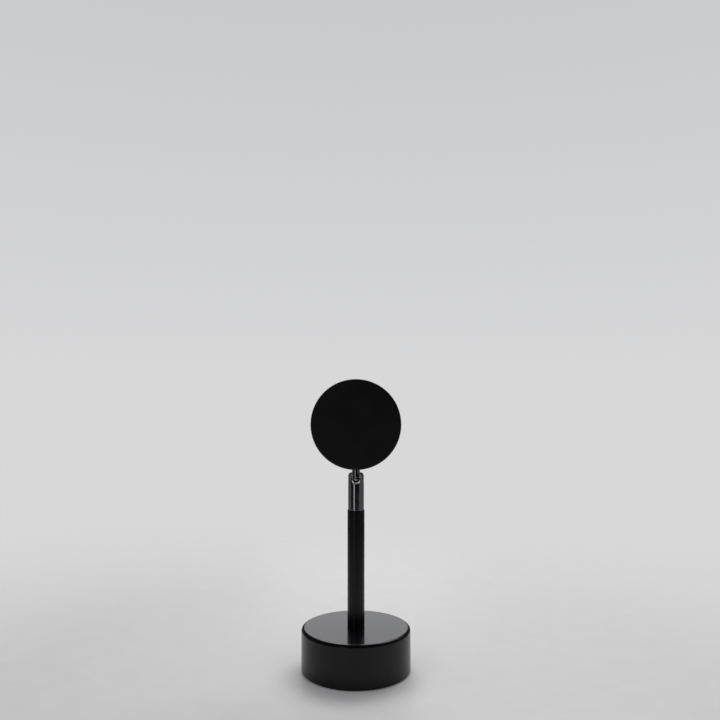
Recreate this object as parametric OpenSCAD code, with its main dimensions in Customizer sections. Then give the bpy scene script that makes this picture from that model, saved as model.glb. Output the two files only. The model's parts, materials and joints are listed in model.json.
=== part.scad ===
// Sunset projection lamp: a drum-shaped head with a convex lens, on a chrome tilt joint, a
// straight pole and a weighted round base. Millimetres, +Z up, origin at the centre of the
// face that it stands on. The lens looks along +Y at rest, and the head tilts about X.

/* [Base] */
// Outer diameter of the base
base_d = 95; // [90:1:105]
// Height of the base's top face above the table
base_h = 37; // [35:0.5:45]
// Sheet thickness of the spun base shell
base_wall = 1.2; // [1:0.1:1.5]
// Radius of the rounded top edge of the base
base_edge_r = 2.7; // [1.5:0.1:3]
// Diameter of the foot pad
pad_d = 91.8; // [84:0.2:93]
// Thickness of the foot pad
pad_t = 1.5; // [1:0.1:2]
// Thickness of the bottom plate
plate_t = 2; // [1.8:0.1:2.5]
// Thickness of the cast weight under the top of the base
weight_t = 9; // [6:0.5:10]

/* [Cable inlet] */
// Height of the cable inlet above the table
inlet_z = 12; // [10:0.5:14]
// Diameter of the hole in the grommet that the cord goes through
cord_hole_d = 3.8; // [3:0.1:4.4]

/* [Pole] */
// Outer diameter of the pole
pole_d = 14.9; // [14:0.1:16]
// Wall thickness of the pole
pole_wall = 1.2; // [0.8:0.1:1.2]
// Length of the pole above the base
pole_len = 101.2; // [60:0.2:200]

/* [Tilt joint] */
// Diameter of the chrome fork
fork_d = 13.8; // [13:0.1:14]
// Height of the fork above the pole
fork_h = 32.8; // [32:0.1:36]
// Height of the tilt axis above the pole
pivot_h = 26.7; // [26:0.1:27]
// Radius of the fork's turned top edge
fork_edge_r = 3.4; // [2.5:0.1:3.4]
// Width of the fork's slot
slot_w = 7.2; // [7:0.1:7.4]
// Diameter of the tongue's neck, and of the part of it that swings in the slot
neck_d = 7; // [6.2:0.1:7]

/* [Head] */
// Outer diameter of the head
head_d = 77.5; // [75:0.5:80]
// Depth of the head's casing from back to front
head_depth = 44; // [43:0.5:52]
// Height of the head's centre above the tilt axis
head_up = 48.9; // [48.5:0.1:56]
// Wall thickness of the head's casing
head_wall = 2; // [1.8:0.1:2.2]
// Thickness of the head's back
head_back = 2.5; // [2:0.1:3]
// Radius of the rounded back edge of the head
head_edge_r = 1.5; // [0.5:0.1:2]

/* [Optics] */
// How far the lens bulges out of its flange
lens_bulge = 12; // [8:0.5:14]
// Thickness of the lens's flange
lens_rim_t = 3; // [2.5:0.1:3.5]
// Diameter of the colour filter
filter_d = 40; // [36:0.5:42]
// Thickness of the colour filter
filter_t = 1.1; // [0.8:0.1:1.5]

/* [Hidden] */
$fn = 96;

// How far a cutting shape runs past what it cuts, and the gap left between fitted pieces
over = 1;
fit_gap = 0.05;
hole_gap = 0.15;                        // radial room round a screw in its through hole
nut_edge = 0.8;                         // how far a nut's corners are chamfered

// Colours
black = "#141417";
rubber_black = "#1c1c1e";
chrome = "#c8cace";
steel = "#9a9ca0";
iron = "#4a4a4c";
board_green = "#1d5a36";
board_white = "#e6e6e0";

// Base
base_r = base_d / 2;
base_in_r = base_r - base_wall;
pad_edge_r = 0.3;
plate_top = pad_t + plate_t;
deck_z = base_h - base_wall;
weight_low = deck_z - weight_t;
weight_r = base_in_r - 1.5;
weight_edge_r = 2;
leg_r = 4.5;
leg_ring_r = base_r - 11.5;
leg_angles = [30, 150, 270];
leg_hole_top = 14;
plate_screw = [1.5, 2.75, 1.65, 9];     // shank radius, head radius, head height, length
plate_r = base_in_r - 0.3;

// Cable inlet
inlet_neck_r = 3.25;
inlet_lip_r = 4.5;
inlet_lip_t = 1.2;
inlet_lip_edge_r = 0.6;
inlet_back_y = base_in_r - inlet_lip_t;
inlet_len = base_r + inlet_lip_t - inlet_back_y;

// Driver board, hung under the weight on two bosses
board_size = [36, 20, 1.6];
board_y = -20;
board_gap = 5;
board_top = weight_low - board_gap;
board_low = board_top - board_size[2];
board_screw_x = 14;
board_boss_r = 3;
board_screw = [1.25, 2.3, 1.4, 5];
coil_at = [-6.5, -3];                   // places on the board, from its centre
capacitor_at = [6.5, -4];
chip_at = [0, 5];

// Hollow threaded rod through the base, and the pole on it
nipple_r = 5;
nipple_bore_r = 3.2;
nipple_up = 10;
nipple_washer = [9.5, 1.2];             // radius, thickness
nipple_nut = [14, 5];                   // across flats, height
nipple_low = weight_low - nipple_washer[1] - nipple_nut[1] - 1;
pole_r = pole_d / 2;
pole_in_r = pole_r - pole_wall;
pole_edge_r = 0.4;
pole_top = base_h + pole_len;
plug_len = 14;
spigot_r = 4;
spigot_len = 11;

// Tilt joint
fork_r = fork_d / 2;
pivot_z = pole_top + pivot_h;
slot_drop = 0.3;                        // slot's round bottom is centred this far under the axis
wire_way_r = 2.2;
slot_r = slot_w / 2;
end_gap = 0.25;                         // between the tongue's round end and the slot's bottom
tongue_half = slot_r - 0.35;            // half the width over the tongue's two flats
washer_t = 0.2;
washer_r = 1.7;
washer_seat = [washer_r + 0.2, 0.1];    // radius and depth of the washers' seats in the slot
neck_start = washer_r + 0.2;            // above the tilt axis
pivot_tip_r = 1.1;
pivot_thread_r = 1.25;
pivot_head = [2.1, 1.4, 1.5];           // head radius, height, hexagon socket's width
pivot_head_edge_r = 0.3;
pivot_seat_x = 5;
pivot_tip_x = 1.8;
lead_way_r = 1.25;
stud_r = 2.9;

// Head: its axis is horizontal, and places along it are counted from the neck, + to the front
head_r = head_d / 2;
head_in_r = head_r - head_wall;
head_z = pivot_z + head_up;
head_rim_r = 0.5;
back_y = -head_depth / 2;
front_y = head_depth / 2;
floor_y = back_y + head_back;
head_low_z = head_z - head_in_r;
saddle = [6.5, 1.5];                    // saddle washer's radius and thickness
neck_nut = [10, 4];
stud_over = 1.2;                        // how far the stud stands out of its nut
stud_top = head_low_z + saddle[1] + neck_nut[1] + stud_over;

// Lens and its ring
ring_t = 3;
ring_edge_r = 0.4;
lens_back_y = front_y - ring_t - lens_rim_t;
lens_r = head_in_r - 1;
dome_r = lens_r - 2.5;
dome_sphere_r = (dome_r * dome_r + lens_bulge * lens_bulge) / (2 * lens_bulge);
gasket_t = 1;
gasket_in_r = head_in_r - 2.7;
rib = [2.4, 2.5];                       // width, height
rib_count = 6;
spanner_slot = [3, 1.6];                // width, depth

// Heat sink and light source
sink_face_y = -7;
sink_base_t = 3;
sink_r = head_in_r - 4;
fin_t = 1.6;
fin_pitch = 6.4;
fin_count = 9;
fin_gap = 0.3;
boss_r = 3.5;
boss_ring_r = 26;
boss_angles = [30, 150, 270];
sink_screw = [1.5, 2.8, 1.8, 8];
led_pad_t = 0.5;
led_board_r = 10.5;
led_board_t = 1.6;
led_face_y = sink_face_y + led_pad_t + led_board_t;
led_screw_x = 7.5;
led_screw = [1.2, 2, 1.3, 5];
emitter_w = 7;
emitter_t = 0.9;
emitter_dome_r = 2.7;

// Light cup: its foot stands on the heat sink, and its mouth holds the filter
cup_foot_r = 19;
cup_foot_t = 1.5;
cup_in_r = 11.5;
cup_wall = 1.6;
filter_r = filter_d / 2;
cup_mouth_r = filter_r + fit_gap;
cup_seat_r = filter_r - 1.5;
cup_seat_y = 6;
filter_ring_t = 1;
cup_rim_y = cup_seat_y + filter_t + filter_ring_t + 0.3;
cup_screw_x = 16.6;
cup_screw = [1.2, 2, 1.3, 4.5];
lead_notch = [4.8, 2.8];                // width, height

// Leads from the driver board to the light source
lead_r = 0.5;
lead_x = 0.55;
lead_pad_x = 3;
lead_pad_y = -13;
lead_dip_z = 13;
lead_top_z = pivot_z - slot_drop - slot_r - 0.9;
lead_sides = 10;
bend_r = 4;
bend_steps = 6;
led_pad_x = 1.6;
led_pad_z = head_z - 8;
lead_bend_z = stud_top + 4;
lead_front_y = led_face_y + lead_r + 0.1;

// A tube standing on the XY plane
module tube(outer, inner, h) {
    difference() {
        cylinder(r = outer, h = h);
        translate([0, 0, -over]) cylinder(r = inner, h = h + 2 * over);
    }
}

// What a round cut takes off the outer corner of a turned profile
module corner(edge) {
    difference() {
        square(2 * edge);
        circle(edge);
    }
}

// A disc whose top edge is rounded, and its bottom edge too where low_edge is given
module round_disc(r, h, edge, low_edge = 0) {
    rotate_extrude() difference() {
        square([r, h]);
        translate([r - edge, h - edge]) corner(edge);
        if (low_edge > 0) translate([r - low_edge, low_edge]) mirror([0, 1]) corner(low_edge);
    }
}

// Places its children around the Z axis
module around(angles, r) {
    for (a = angles) rotate([0, 0, a]) translate([r, 0, 0]) children();
}

// Turns a shape's Z axis to +Y, on the head's own axis
module on_head_axis(y = 0) {
    translate([0, y, head_z]) rotate([-90, 0, 0]) children();
}

// A pan-head screw under the XY plane: its head stands on the plane, with a cross recess
module pan_screw(size) {
    difference() {
        union() {
            round_disc(size[1], size[2], size[2] / 2);
            translate([0, 0, -size[3]]) cylinder(r = size[0], h = size[3] + size[2] / 2);
        }
        cross_recess(size[1], size[2]);
    }
}

// The two crossed slots in a screw's head
module cross_recess(head_radius, head_height) {
    for (a = [0, 90]) rotate([0, 0, a]) translate([0, 0, head_height * 0.9])
        cube([head_radius * 1.2, head_radius * 0.28, head_height], center = true);
}

// A countersunk screw: the flat of its head is on the XY plane, and its shank points up
module flat_screw(size) {
    difference() {
        union() {
            cylinder(r1 = size[1], r2 = size[0], h = size[2]);
            cylinder(r = size[0], h = size[3]);
        }
        mirror([0, 0, 1]) translate([0, 0, -size[2]]) cross_recess(size[1], size[2]);
    }
}

// A hexagon nut on the XY plane, with a chamfered top
module nut(size, hole_r, h) {
    corner_r = size / sqrt(3);
    difference() {
        intersection() {
            cylinder(r = corner_r, h = h, $fn = 6);
            cylinder(r1 = corner_r + h - nut_edge, r2 = corner_r - nut_edge, h = h);
        }
        translate([0, 0, -over]) cylinder(r = hole_r, h = h + 2 * over);
    }
}

// The route's corners, rounded, for a lead
function unit(v) = v / norm(v);
function bend(a, b, c) =
    let (from = b + bend_r * unit(a - b), to = b + bend_r * unit(c - b))
    [for (i = [0:bend_steps]) let (t = i / bend_steps)
        (1 - t) * (1 - t) * from + 2 * t * (1 - t) * b + t * t * to];
function rounded(route) = [
    route[0],
    for (i = [1:len(route) - 2]) each bend(route[i - 1], route[i], route[i + 1]),
    route[len(route) - 1]
];

// The ring of points round one point of a lead, square to its direction
function lead_ring(path, i) =
    let (
        last = len(path) - 1,
        along = unit(path[min(i + 1, last)] - path[max(i - 1, 0)]),
        side = unit(cross(along, [1, 0, 0])),
        up = cross(side, along)
    )
    [for (k = [0:lead_sides - 1]) let (a = 360 * k / lead_sides)
        path[i] + lead_r * (cos(a) * side + sin(a) * up)];

// A lead: a round tube swept along its route
module lead(route) {
    path = rounded(route);
    last = len(path) - 1;
    n = lead_sides;
    polyhedron(
        points = [for (i = [0:last]) each lead_ring(path, i)],
        faces = [
            [for (k = [0:n - 1]) k],
            for (i = [0:last - 1], k = [0:n - 1])
                each [
                    [i * n + k, (i + 1) * n + k, (i + 1) * n + (k + 1) % n],
                    [i * n + k, (i + 1) * n + (k + 1) % n, i * n + (k + 1) % n]
                ],
            [for (k = [n - 1:-1:0]) last * n + k]
        ]
    );
}

// Base ---------------------------------------------------------------------------------

module foot_pad() {
    color(rubber_black) round_disc(pad_d / 2, pad_t, pad_edge_r, pad_edge_r);
}

module bottom_plate() {
    color(steel) translate([0, 0, pad_t]) difference() {
        cylinder(r = plate_r, h = plate_t);
        around(leg_angles, leg_ring_r) {
            cylinder(r1 = plate_screw[1] + fit_gap, r2 = plate_screw[0] + fit_gap,
                h = plate_screw[2]);
            cylinder(r = plate_screw[0] + fit_gap, h = plate_t + over);
        }
    }
}

module plate_screws() {
    color(steel) translate([0, 0, pad_t]) around(leg_angles, leg_ring_r) flat_screw(plate_screw);
}

module base_shell() {
    color(black) difference() {
        translate([0, 0, pad_t]) round_disc(base_r, base_h - pad_t, base_edge_r);
        translate([0, 0, pad_t - over]) round_disc(base_in_r, deck_z - pad_t + over,
            base_edge_r - base_wall / 2);
        cylinder(r = nipple_r + fit_gap, h = base_h + over);
        translate([0, base_r, inlet_z]) rotate([90, 0, 0])
            cylinder(r = inlet_neck_r + fit_gap, h = 3 * base_wall, center = true);
    }
}

module base_weight() {
    color(iron) difference() {
        union() {
            translate([0, 0, weight_low]) round_disc(weight_r, weight_t, weight_edge_r);
            around(leg_angles, leg_ring_r) translate([0, 0, plate_top])
                cylinder(r = leg_r, h = weight_low - plate_top + over);
            for (x = [-board_screw_x, board_screw_x]) translate([x, board_y, board_top])
                cylinder(r = board_boss_r, h = board_gap + over);
        }
        cylinder(r = nipple_r + fit_gap, h = base_h);
        around(leg_angles, leg_ring_r) cylinder(r = plate_screw[0] + fit_gap,
            h = leg_hole_top);
        for (x = [-board_screw_x, board_screw_x]) translate([x, board_y, board_top - over])
            cylinder(r = board_screw[0] + fit_gap, h = board_screw[3]);
    }
}

module cable_grommet() {
    color(rubber_black) difference() {
        translate([0, inlet_back_y, inlet_z]) rotate([-90, 0, 0])
            round_disc(inlet_lip_r, inlet_len, inlet_lip_edge_r);
        difference() {
            tube(base_r + fit_gap, base_in_r - fit_gap, base_h);
            translate([0, 0, inlet_z]) rotate([-90, 0, 0])
                cylinder(r = inlet_neck_r, h = 2 * base_r);
        }
        translate([0, 0, inlet_z]) rotate([-90, 0, 0])
            cylinder(r = cord_hole_d / 2, h = 2 * base_r);
    }
}

// Driver board: parts hang from its underside ---------------------------------------------

module under_board(at) {
    translate([at[0], board_y + at[1], board_low]) mirror([0, 0, 1]) children();
}

module driver_board() {
    color(board_green) difference() {
        translate([-board_size[0] / 2, board_y - board_size[1] / 2, board_low])
            cube(board_size);
        for (x = [-board_screw_x, board_screw_x]) translate([x, board_y, board_low - over])
            cylinder(r = board_screw[0] + hole_gap, h = board_size[2] + 2 * over);
    }
}

module driver_coil() {
    coil = [4.5, 5];
    flange_t = 0.8;
    winding_r = 3.375;
    color("#5a3a22") under_board(coil_at) {
        cylinder(r = coil[0], h = flange_t);
        cylinder(r = winding_r, h = coil[1]);
        translate([0, 0, coil[1] - flange_t]) cylinder(r = coil[0], h = flange_t);
    }
}

module driver_capacitor() {
    can = [3.15, 7.7];
    can_edge_r = 0.5;
    color("#2a2c50") under_board(capacitor_at) round_disc(can[0], can[1], can_edge_r);
}

module driver_chip() {
    body = [4.9, 3.9, 1.5];
    leg = [0.4, 1.05, 0.7];
    leg_pitch = 1.27;
    color("#26262a") under_board(chip_at) union() {
        translate([0, 0, 0.1 + body[2] / 2]) cube(body, center = true);
        for (side = [-1, 1], i = [-1.5:1:1.5])
            translate([i * leg_pitch, side * (body[1] / 2 + leg[1] / 2 - 0.1), leg[2] / 2])
                cube(leg, center = true);
    }
}

module board_screws() {
    color(steel) for (x = [-board_screw_x, board_screw_x])
        under_board([x, 0]) pan_screw(board_screw);
}

// Pole -----------------------------------------------------------------------------------

module pole_nipple() {
    color(steel) translate([0, 0, nipple_low])
        tube(nipple_r, nipple_bore_r, base_h + nipple_up - nipple_low);
}

module nipple_washer() {
    color(steel) translate([0, 0, weight_low - nipple_washer[1]])
        tube(nipple_washer[0], nipple_r + fit_gap, nipple_washer[1]);
}

module nipple_nut() {
    color(steel) translate([0, 0, weight_low - nipple_washer[1]]) mirror([0, 0, 1])
        nut(nipple_nut[0], nipple_r + fit_gap, nipple_nut[1]);
}

module pole_foot_plug() {
    color(steel) translate([0, 0, base_h])
        tube(pole_in_r - fit_gap, nipple_r + fit_gap, plug_len);
}

module pole_tube() {
    color(black) translate([0, 0, base_h]) difference() {
        round_disc(pole_r, pole_len, pole_edge_r);
        translate([0, 0, -over]) cylinder(r = pole_in_r, h = pole_len + 2 * over);
    }
}

module pole_top_plug() {
    color(steel) translate([0, 0, pole_top - plug_len])
        tube(pole_in_r - fit_gap, spigot_r + fit_gap, plug_len);
}

// Tilt joint -----------------------------------------------------------------------------

module fork_slot() {
    translate([0, 0, pivot_z - slot_drop]) {
        rotate([90, 0, 0]) cylinder(r = slot_r, h = 2 * fork_r, center = true);
        translate([-slot_r, -fork_r, 0]) cube([slot_w, 2 * fork_r, fork_h]);
    }
}

module fork() {
    color(chrome) difference() {
        union() {
            translate([0, 0, pole_top]) round_disc(fork_r, fork_h, fork_edge_r);
            translate([0, 0, pole_top - spigot_len]) cylinder(r = spigot_r, h = spigot_len + over);
        }
        fork_slot();
        translate([0, 0, pole_top - spigot_len - over])
            cylinder(r = wire_way_r, h = spigot_len + pivot_h);
        translate([-fork_r, 0, pivot_z]) rotate([0, 90, 0])
            cylinder(r = pivot_thread_r + fit_gap, h = 2 * fork_r);
        for (side = [-1, 1]) translate([0, 0, pivot_z]) rotate([0, side * 90, 0]) {
            cylinder(r = washer_seat[0], h = slot_r + washer_seat[1]);
            translate([0, 0, pivot_seat_x]) cylinder(r = pivot_head[0] + hole_gap, h = fork_r);
        }
    }
}

module pivot_screws() {
    color(chrome) for (side = [-1, 1]) translate([0, 0, pivot_z]) rotate([0, side * 90, 0])
        difference() {
            union() {
                translate([0, 0, pivot_tip_x]) cylinder(r = pivot_tip_r, h = slot_r);
                translate([0, 0, slot_r]) cylinder(r = pivot_thread_r, h = pivot_seat_x - slot_r);
                translate([0, 0, pivot_seat_x]) round_disc(pivot_head[0], pivot_head[1], pivot_head_edge_r);
            }
            translate([0, 0, pivot_seat_x + pivot_head[1] / 3])
                cylinder(r = pivot_head[2] / sqrt(3), h = pivot_head[1], $fn = 6);
        }
}

module tongue() {
    color(chrome) difference() {
        union() {
            translate([0, 0, pivot_z]) rotate([0, 90, 0]) rotate_extrude() intersection() {
                translate([slot_drop - end_gap, 0]) circle(slot_r);
                translate([0, -tongue_half]) square([2 * slot_r, 2 * tongue_half]);
            }
            difference() {
                translate([0, 0, pivot_z + neck_start])
                    cylinder(r = neck_d / 2, h = head_low_z - pivot_z);
                on_head_axis() cylinder(r = head_r, h = head_d, center = true);
            }
            translate([0, 0, pivot_z + neck_start])
                cylinder(r = stud_r, h = stud_top - pivot_z - neck_start);
        }
        translate([0, 0, pivot_z - 2 * slot_r]) cylinder(r = lead_way_r, h = 2 * head_r);
        for (side = [-1, 1]) translate([side * (pivot_tip_x - 0.1), 0, pivot_z])
            rotate([0, side * 90, 0]) cylinder(r = pivot_tip_r + fit_gap, h = slot_r);
    }
}

module friction_washers() {
    color("#d8d4c8") for (side = [-1, 1]) translate([side * tongue_half, 0, pivot_z])
        rotate([0, side * 90, 0]) tube(washer_r, pivot_tip_r + 0.1, washer_t);
}

module neck_washer() {
    color(rubber_black) difference() {
        intersection() {
            translate([0, 0, head_low_z - over]) cylinder(r = saddle[0], h = saddle[1] + over);
            on_head_axis() cylinder(r = head_in_r, h = head_d, center = true, $fn = 240);
        }
        translate([0, 0, pivot_z]) cylinder(r = stud_r + fit_gap, h = head_up);
    }
}

module neck_nut() {
    color(steel) translate([0, 0, head_low_z + saddle[1]])
        nut(neck_nut[0], stud_r + fit_gap, neck_nut[1]);
}

// Head -----------------------------------------------------------------------------------

module head_shell() {
    color(black) difference() {
        union() {
            difference() {
                on_head_axis(front_y) mirror([0, 0, 1])
                    round_disc(head_r, head_depth, head_edge_r, head_rim_r);
                on_head_axis(floor_y) cylinder(r = head_in_r, h = head_depth);
            }
            on_head_axis(floor_y - head_back / 2) around(boss_angles, boss_ring_r)
                cylinder(r = boss_r, h = sink_face_y - sink_base_t - floor_y + head_back / 2);
            on_head_axis(floor_y - head_back / 2)
                for (i = [0:rib_count - 1]) rotate([0, 0, 360 * i / rib_count])
                    translate([head_in_r - rib[1], -rib[0] / 2, 0])
                        cube([rib[1] + head_wall / 2, rib[0],
                            lens_back_y - gasket_t - floor_y + head_back / 2]);
        }
        on_head_axis(sink_face_y - sink_screw[3] - over) around(boss_angles, boss_ring_r)
            cylinder(r = sink_screw[0] + fit_gap, h = sink_screw[3] + over);
        translate([0, 0, pivot_z]) cylinder(r = stud_r + fit_gap, h = head_up);
    }
}

module heat_sink() {
    fin_back = floor_y + fin_gap;
    fin_h = sink_face_y - sink_base_t - fin_back;
    color("#b4b6ba") difference() {
        union() {
            on_head_axis(sink_face_y - sink_base_t) cylinder(r = sink_r, h = sink_base_t);
            intersection() {
                on_head_axis(fin_back) cylinder(r = sink_r - 1, h = fin_h + over);
                for (i = [-(fin_count - 1) / 2:(fin_count - 1) / 2])
                    translate([i * fin_pitch - fin_t / 2, fin_back, head_z - sink_r])
                        cube([fin_t, fin_h + over, 2 * sink_r]);
            }
        }
        on_head_axis(floor_y) around(boss_angles, boss_ring_r)
            cylinder(r = boss_r + 0.8, h = sink_face_y - sink_base_t - floor_y);
        on_head_axis(floor_y) around(boss_angles, boss_ring_r)
            cylinder(r = sink_screw[0] + hole_gap, h = head_depth);
        for (x = [-led_screw_x, led_screw_x]) translate([x, 0, 0])
            on_head_axis(led_face_y - led_screw[3] - 0.2)
                cylinder(r = led_screw[0] + fit_gap, h = head_depth);
        for (x = [-cup_screw_x, cup_screw_x]) translate([x, 0, 0])
            on_head_axis(sink_face_y + cup_foot_t - cup_screw[3] - 0.2)
                cylinder(r = cup_screw[0] + fit_gap, h = head_depth);
    }
}

module sink_screws() {
    color(steel) on_head_axis(sink_face_y) around(boss_angles, boss_ring_r) pan_screw(sink_screw);
}

// A disc under the light source, with the holes of its two screws
module led_disc(y, r, t) {
    difference() {
        on_head_axis(y) cylinder(r = r, h = t);
        for (x = [-led_screw_x, led_screw_x]) translate([x, 0, 0]) on_head_axis(y - over)
            cylinder(r = led_screw[0] + hole_gap, h = t + 2 * over);
    }
}

module thermal_pad() {
    color("#8c8f98") led_disc(sink_face_y, led_board_r - 0.5, led_pad_t);
}

module led_board() {
    color(board_white) led_disc(sink_face_y + led_pad_t, led_board_r, led_board_t);
}

module led_emitter() {
    color("#f2d86a") on_head_axis(led_face_y) {
        translate([-emitter_w / 2, -emitter_w / 2, 0]) cube([emitter_w, emitter_w, emitter_t]);
        intersection() {
            translate([0, 0, emitter_t]) sphere(emitter_dome_r);
            translate([-emitter_w, -emitter_w, 0]) cube(2 * emitter_w);
        }
    }
}

module led_screws() {
    color(steel) for (x = [-led_screw_x, led_screw_x]) translate([x, 0, 0])
        on_head_axis(led_face_y) pan_screw(led_screw);
}

module light_cup() {
    slope_y = sink_face_y + cup_foot_t;
    color("#202022") difference() {
        on_head_axis() rotate_extrude() polygon([
            [cup_in_r, sink_face_y],
            [cup_foot_r, sink_face_y],
            [cup_foot_r, slope_y],
            [cup_in_r + cup_wall, slope_y],
            [cup_mouth_r + cup_wall, cup_seat_y - 2],
            [cup_mouth_r + cup_wall, cup_rim_y],
            [cup_mouth_r, cup_rim_y],
            [cup_mouth_r, cup_seat_y],
            [cup_seat_r, cup_seat_y],
            [cup_seat_r, cup_seat_y - 1],
            [cup_in_r, slope_y]
        ]);
        for (x = [-cup_screw_x, cup_screw_x]) translate([x, 0, 0]) on_head_axis(sink_face_y - over)
            cylinder(r = cup_screw[0] + hole_gap, h = cup_foot_t + 2 * over);
        translate([-lead_notch[0] / 2, slope_y, head_z - cup_foot_r - over])
            cube([lead_notch[0], lead_notch[1], cup_foot_r]);
    }
}

module cup_screws() {
    color(steel) for (x = [-cup_screw_x, cup_screw_x]) translate([x, 0, 0])
        on_head_axis(sink_face_y + cup_foot_t) pan_screw(cup_screw);
}

module colour_filter() {
    color("#d860c0") on_head_axis(cup_seat_y) cylinder(r = filter_r, h = filter_t);
}

module filter_ring() {
    color(steel) on_head_axis(cup_seat_y + filter_t)
        tube(cup_mouth_r - fit_gap, filter_r - 1.2, filter_ring_t);
}

module lens_gasket() {
    color(rubber_black) on_head_axis(lens_back_y - gasket_t)
        tube(head_in_r - 0.2, gasket_in_r, gasket_t);
}

module lens() {
    color("#cfe4ec") on_head_axis(lens_back_y) {
        cylinder(r = lens_r, h = lens_rim_t);
        intersection() {
            translate([0, 0, lens_rim_t + lens_bulge - dome_sphere_r]) sphere(dome_sphere_r);
            cylinder(r = dome_r, h = lens_rim_t + lens_bulge);
        }
    }
}

module lens_ring() {
    color(black) difference() {
        on_head_axis(lens_back_y + lens_rim_t) difference() {
            round_disc(head_in_r - 0.1, ring_t, ring_edge_r);
            translate([0, 0, -over]) cylinder(r = dome_r + 0.2, h = ring_t + 2 * over);
        }
        for (a = [0, 90]) on_head_axis(front_y - spanner_slot[1]) rotate([0, 0, a])
            translate([-head_r, -spanner_slot[0] / 2, 0]) cube([head_d, spanner_slot[0], ring_t]);
    }
}

// Leads ----------------------------------------------------------------------------------

module lower_lead(side) {
    lead([
        [side * lead_x, 0, lead_top_z],
        [side * lead_x, 0, lead_dip_z],
        [side * lead_pad_x, lead_pad_y, lead_dip_z],
        [side * lead_pad_x, lead_pad_y, board_low]
    ]);
}

module upper_lead(side) {
    lead([
        [side * lead_x, 0, pivot_z - slot_r + 0.4],
        [side * lead_x, 0, lead_bend_z],
        [side * led_pad_x, lead_front_y, lead_bend_z + 8],
        [side * led_pad_x, lead_front_y, led_pad_z]
    ]);
}

module lower_lead_red() {
    color("#b01818") lower_lead(-1);
}

module lower_lead_black() {
    color(rubber_black) lower_lead(1);
}

module upper_lead_red() {
    color("#b01818") upper_lead(-1);
}

module upper_lead_black() {
    color(rubber_black) upper_lead(1);
}

foot_pad();
bottom_plate();
plate_screws();
base_shell();
base_weight();
cable_grommet();
driver_board();
driver_coil();
driver_capacitor();
driver_chip();
board_screws();
pole_nipple();
nipple_washer();
nipple_nut();
pole_foot_plug();
pole_tube();
pole_top_plug();
fork();
pivot_screws();
lower_lead_red();
lower_lead_black();
tongue();
friction_washers();
neck_washer();
neck_nut();
head_shell();
heat_sink();
sink_screws();
thermal_pad();
led_board();
led_emitter();
led_screws();
light_cup();
cup_screws();
colour_filter();
filter_ring();
lens_gasket();
lens();
lens_ring();
upper_lead_red();
upper_lead_black();
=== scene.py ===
# Sunset projection lamp: a drum-shaped head on a chrome tilt joint, a straight pole and a heavy
# round base. The sections follow the lamp as it is put together, from the foot pad up to the lens.

import json
import math

import bmesh
import bpy
import numpy as np
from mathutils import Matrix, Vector


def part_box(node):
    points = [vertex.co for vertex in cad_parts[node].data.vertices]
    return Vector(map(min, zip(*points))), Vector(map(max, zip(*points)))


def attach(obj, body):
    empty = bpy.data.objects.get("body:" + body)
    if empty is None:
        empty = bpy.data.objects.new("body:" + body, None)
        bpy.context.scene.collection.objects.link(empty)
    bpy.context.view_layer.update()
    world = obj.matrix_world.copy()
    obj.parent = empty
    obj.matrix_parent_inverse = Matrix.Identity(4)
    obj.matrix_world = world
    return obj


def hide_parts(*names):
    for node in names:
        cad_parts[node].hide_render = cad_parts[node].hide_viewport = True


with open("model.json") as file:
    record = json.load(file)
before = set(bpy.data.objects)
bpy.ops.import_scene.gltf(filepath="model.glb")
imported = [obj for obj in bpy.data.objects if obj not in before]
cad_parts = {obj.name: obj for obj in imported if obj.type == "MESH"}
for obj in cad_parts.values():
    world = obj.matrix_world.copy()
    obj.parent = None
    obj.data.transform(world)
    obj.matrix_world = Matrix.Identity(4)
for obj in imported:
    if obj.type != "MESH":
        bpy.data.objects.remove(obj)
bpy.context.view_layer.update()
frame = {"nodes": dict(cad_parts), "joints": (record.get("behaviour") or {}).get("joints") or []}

# Camera ----------------------------------------------------------------------------------
# Set at the height and distance that give the photograph's ellipses and sizes, with the lens
# of the lamp turned away, and pitched up by two degrees.

frame_px = 720
focal_px = 731
pitch_up = 2                            # degrees
sensor = 36
camera_at = (0.0035, -0.646, 0.247)
camera = bpy.data.objects.new("camera", bpy.data.cameras.new("camera"))
bpy.context.scene.collection.objects.link(camera)
camera.data.sensor_width = sensor
camera.data.lens = sensor * focal_px / frame_px
camera.location = camera_at
camera.rotation_euler = (math.radians(90 + pitch_up), 0, 0)
bpy.context.scene.camera = camera
bpy.context.scene.view_settings.view_transform = "Standard"

# Studio ----------------------------------------------------------------------------------
# A pale backdrop that the camera, the chrome and the glass see, up to a dark ceiling, over an
# even grey light. Two soft boxes add the shadow and the streak in the chrome.

def linear(hex_colour):
    """An sRGB hex colour as the linear colour that a shader takes."""
    parts = [int(hex_colour[i:i + 2], 16) / 255 for i in (1, 3, 5)]
    return [c / 12.92 if c <= 0.04045 else ((c + 0.055) / 1.055) ** 2.4 for c in parts] + [1]


def feed(node, sockets):
    """Gives sockets of a node, by name or number, their values or links from other sockets."""
    for name, value in sockets.items():
        if isinstance(value, bpy.types.NodeSocket):
            node.id_data.links.new(value, node.inputs[name])
        else:
            node.inputs[name].default_value = value


def add(tree, kind, sockets={}, stops=(), **settings):
    """Adds a node with its settings, its sockets' values and links, and a ramp's stops."""
    made = tree.nodes.new(kind)
    for name, value in settings.items():
        setattr(made, name, value)
    for i, (place, colour) in enumerate(stops):
        if i > 1:
            made.color_ramp.elements.new(1)
        made.color_ramp.elements[i].position = place
        made.color_ramp.elements[i].color = linear(colour)
    feed(made, sockets)
    return made


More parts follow.
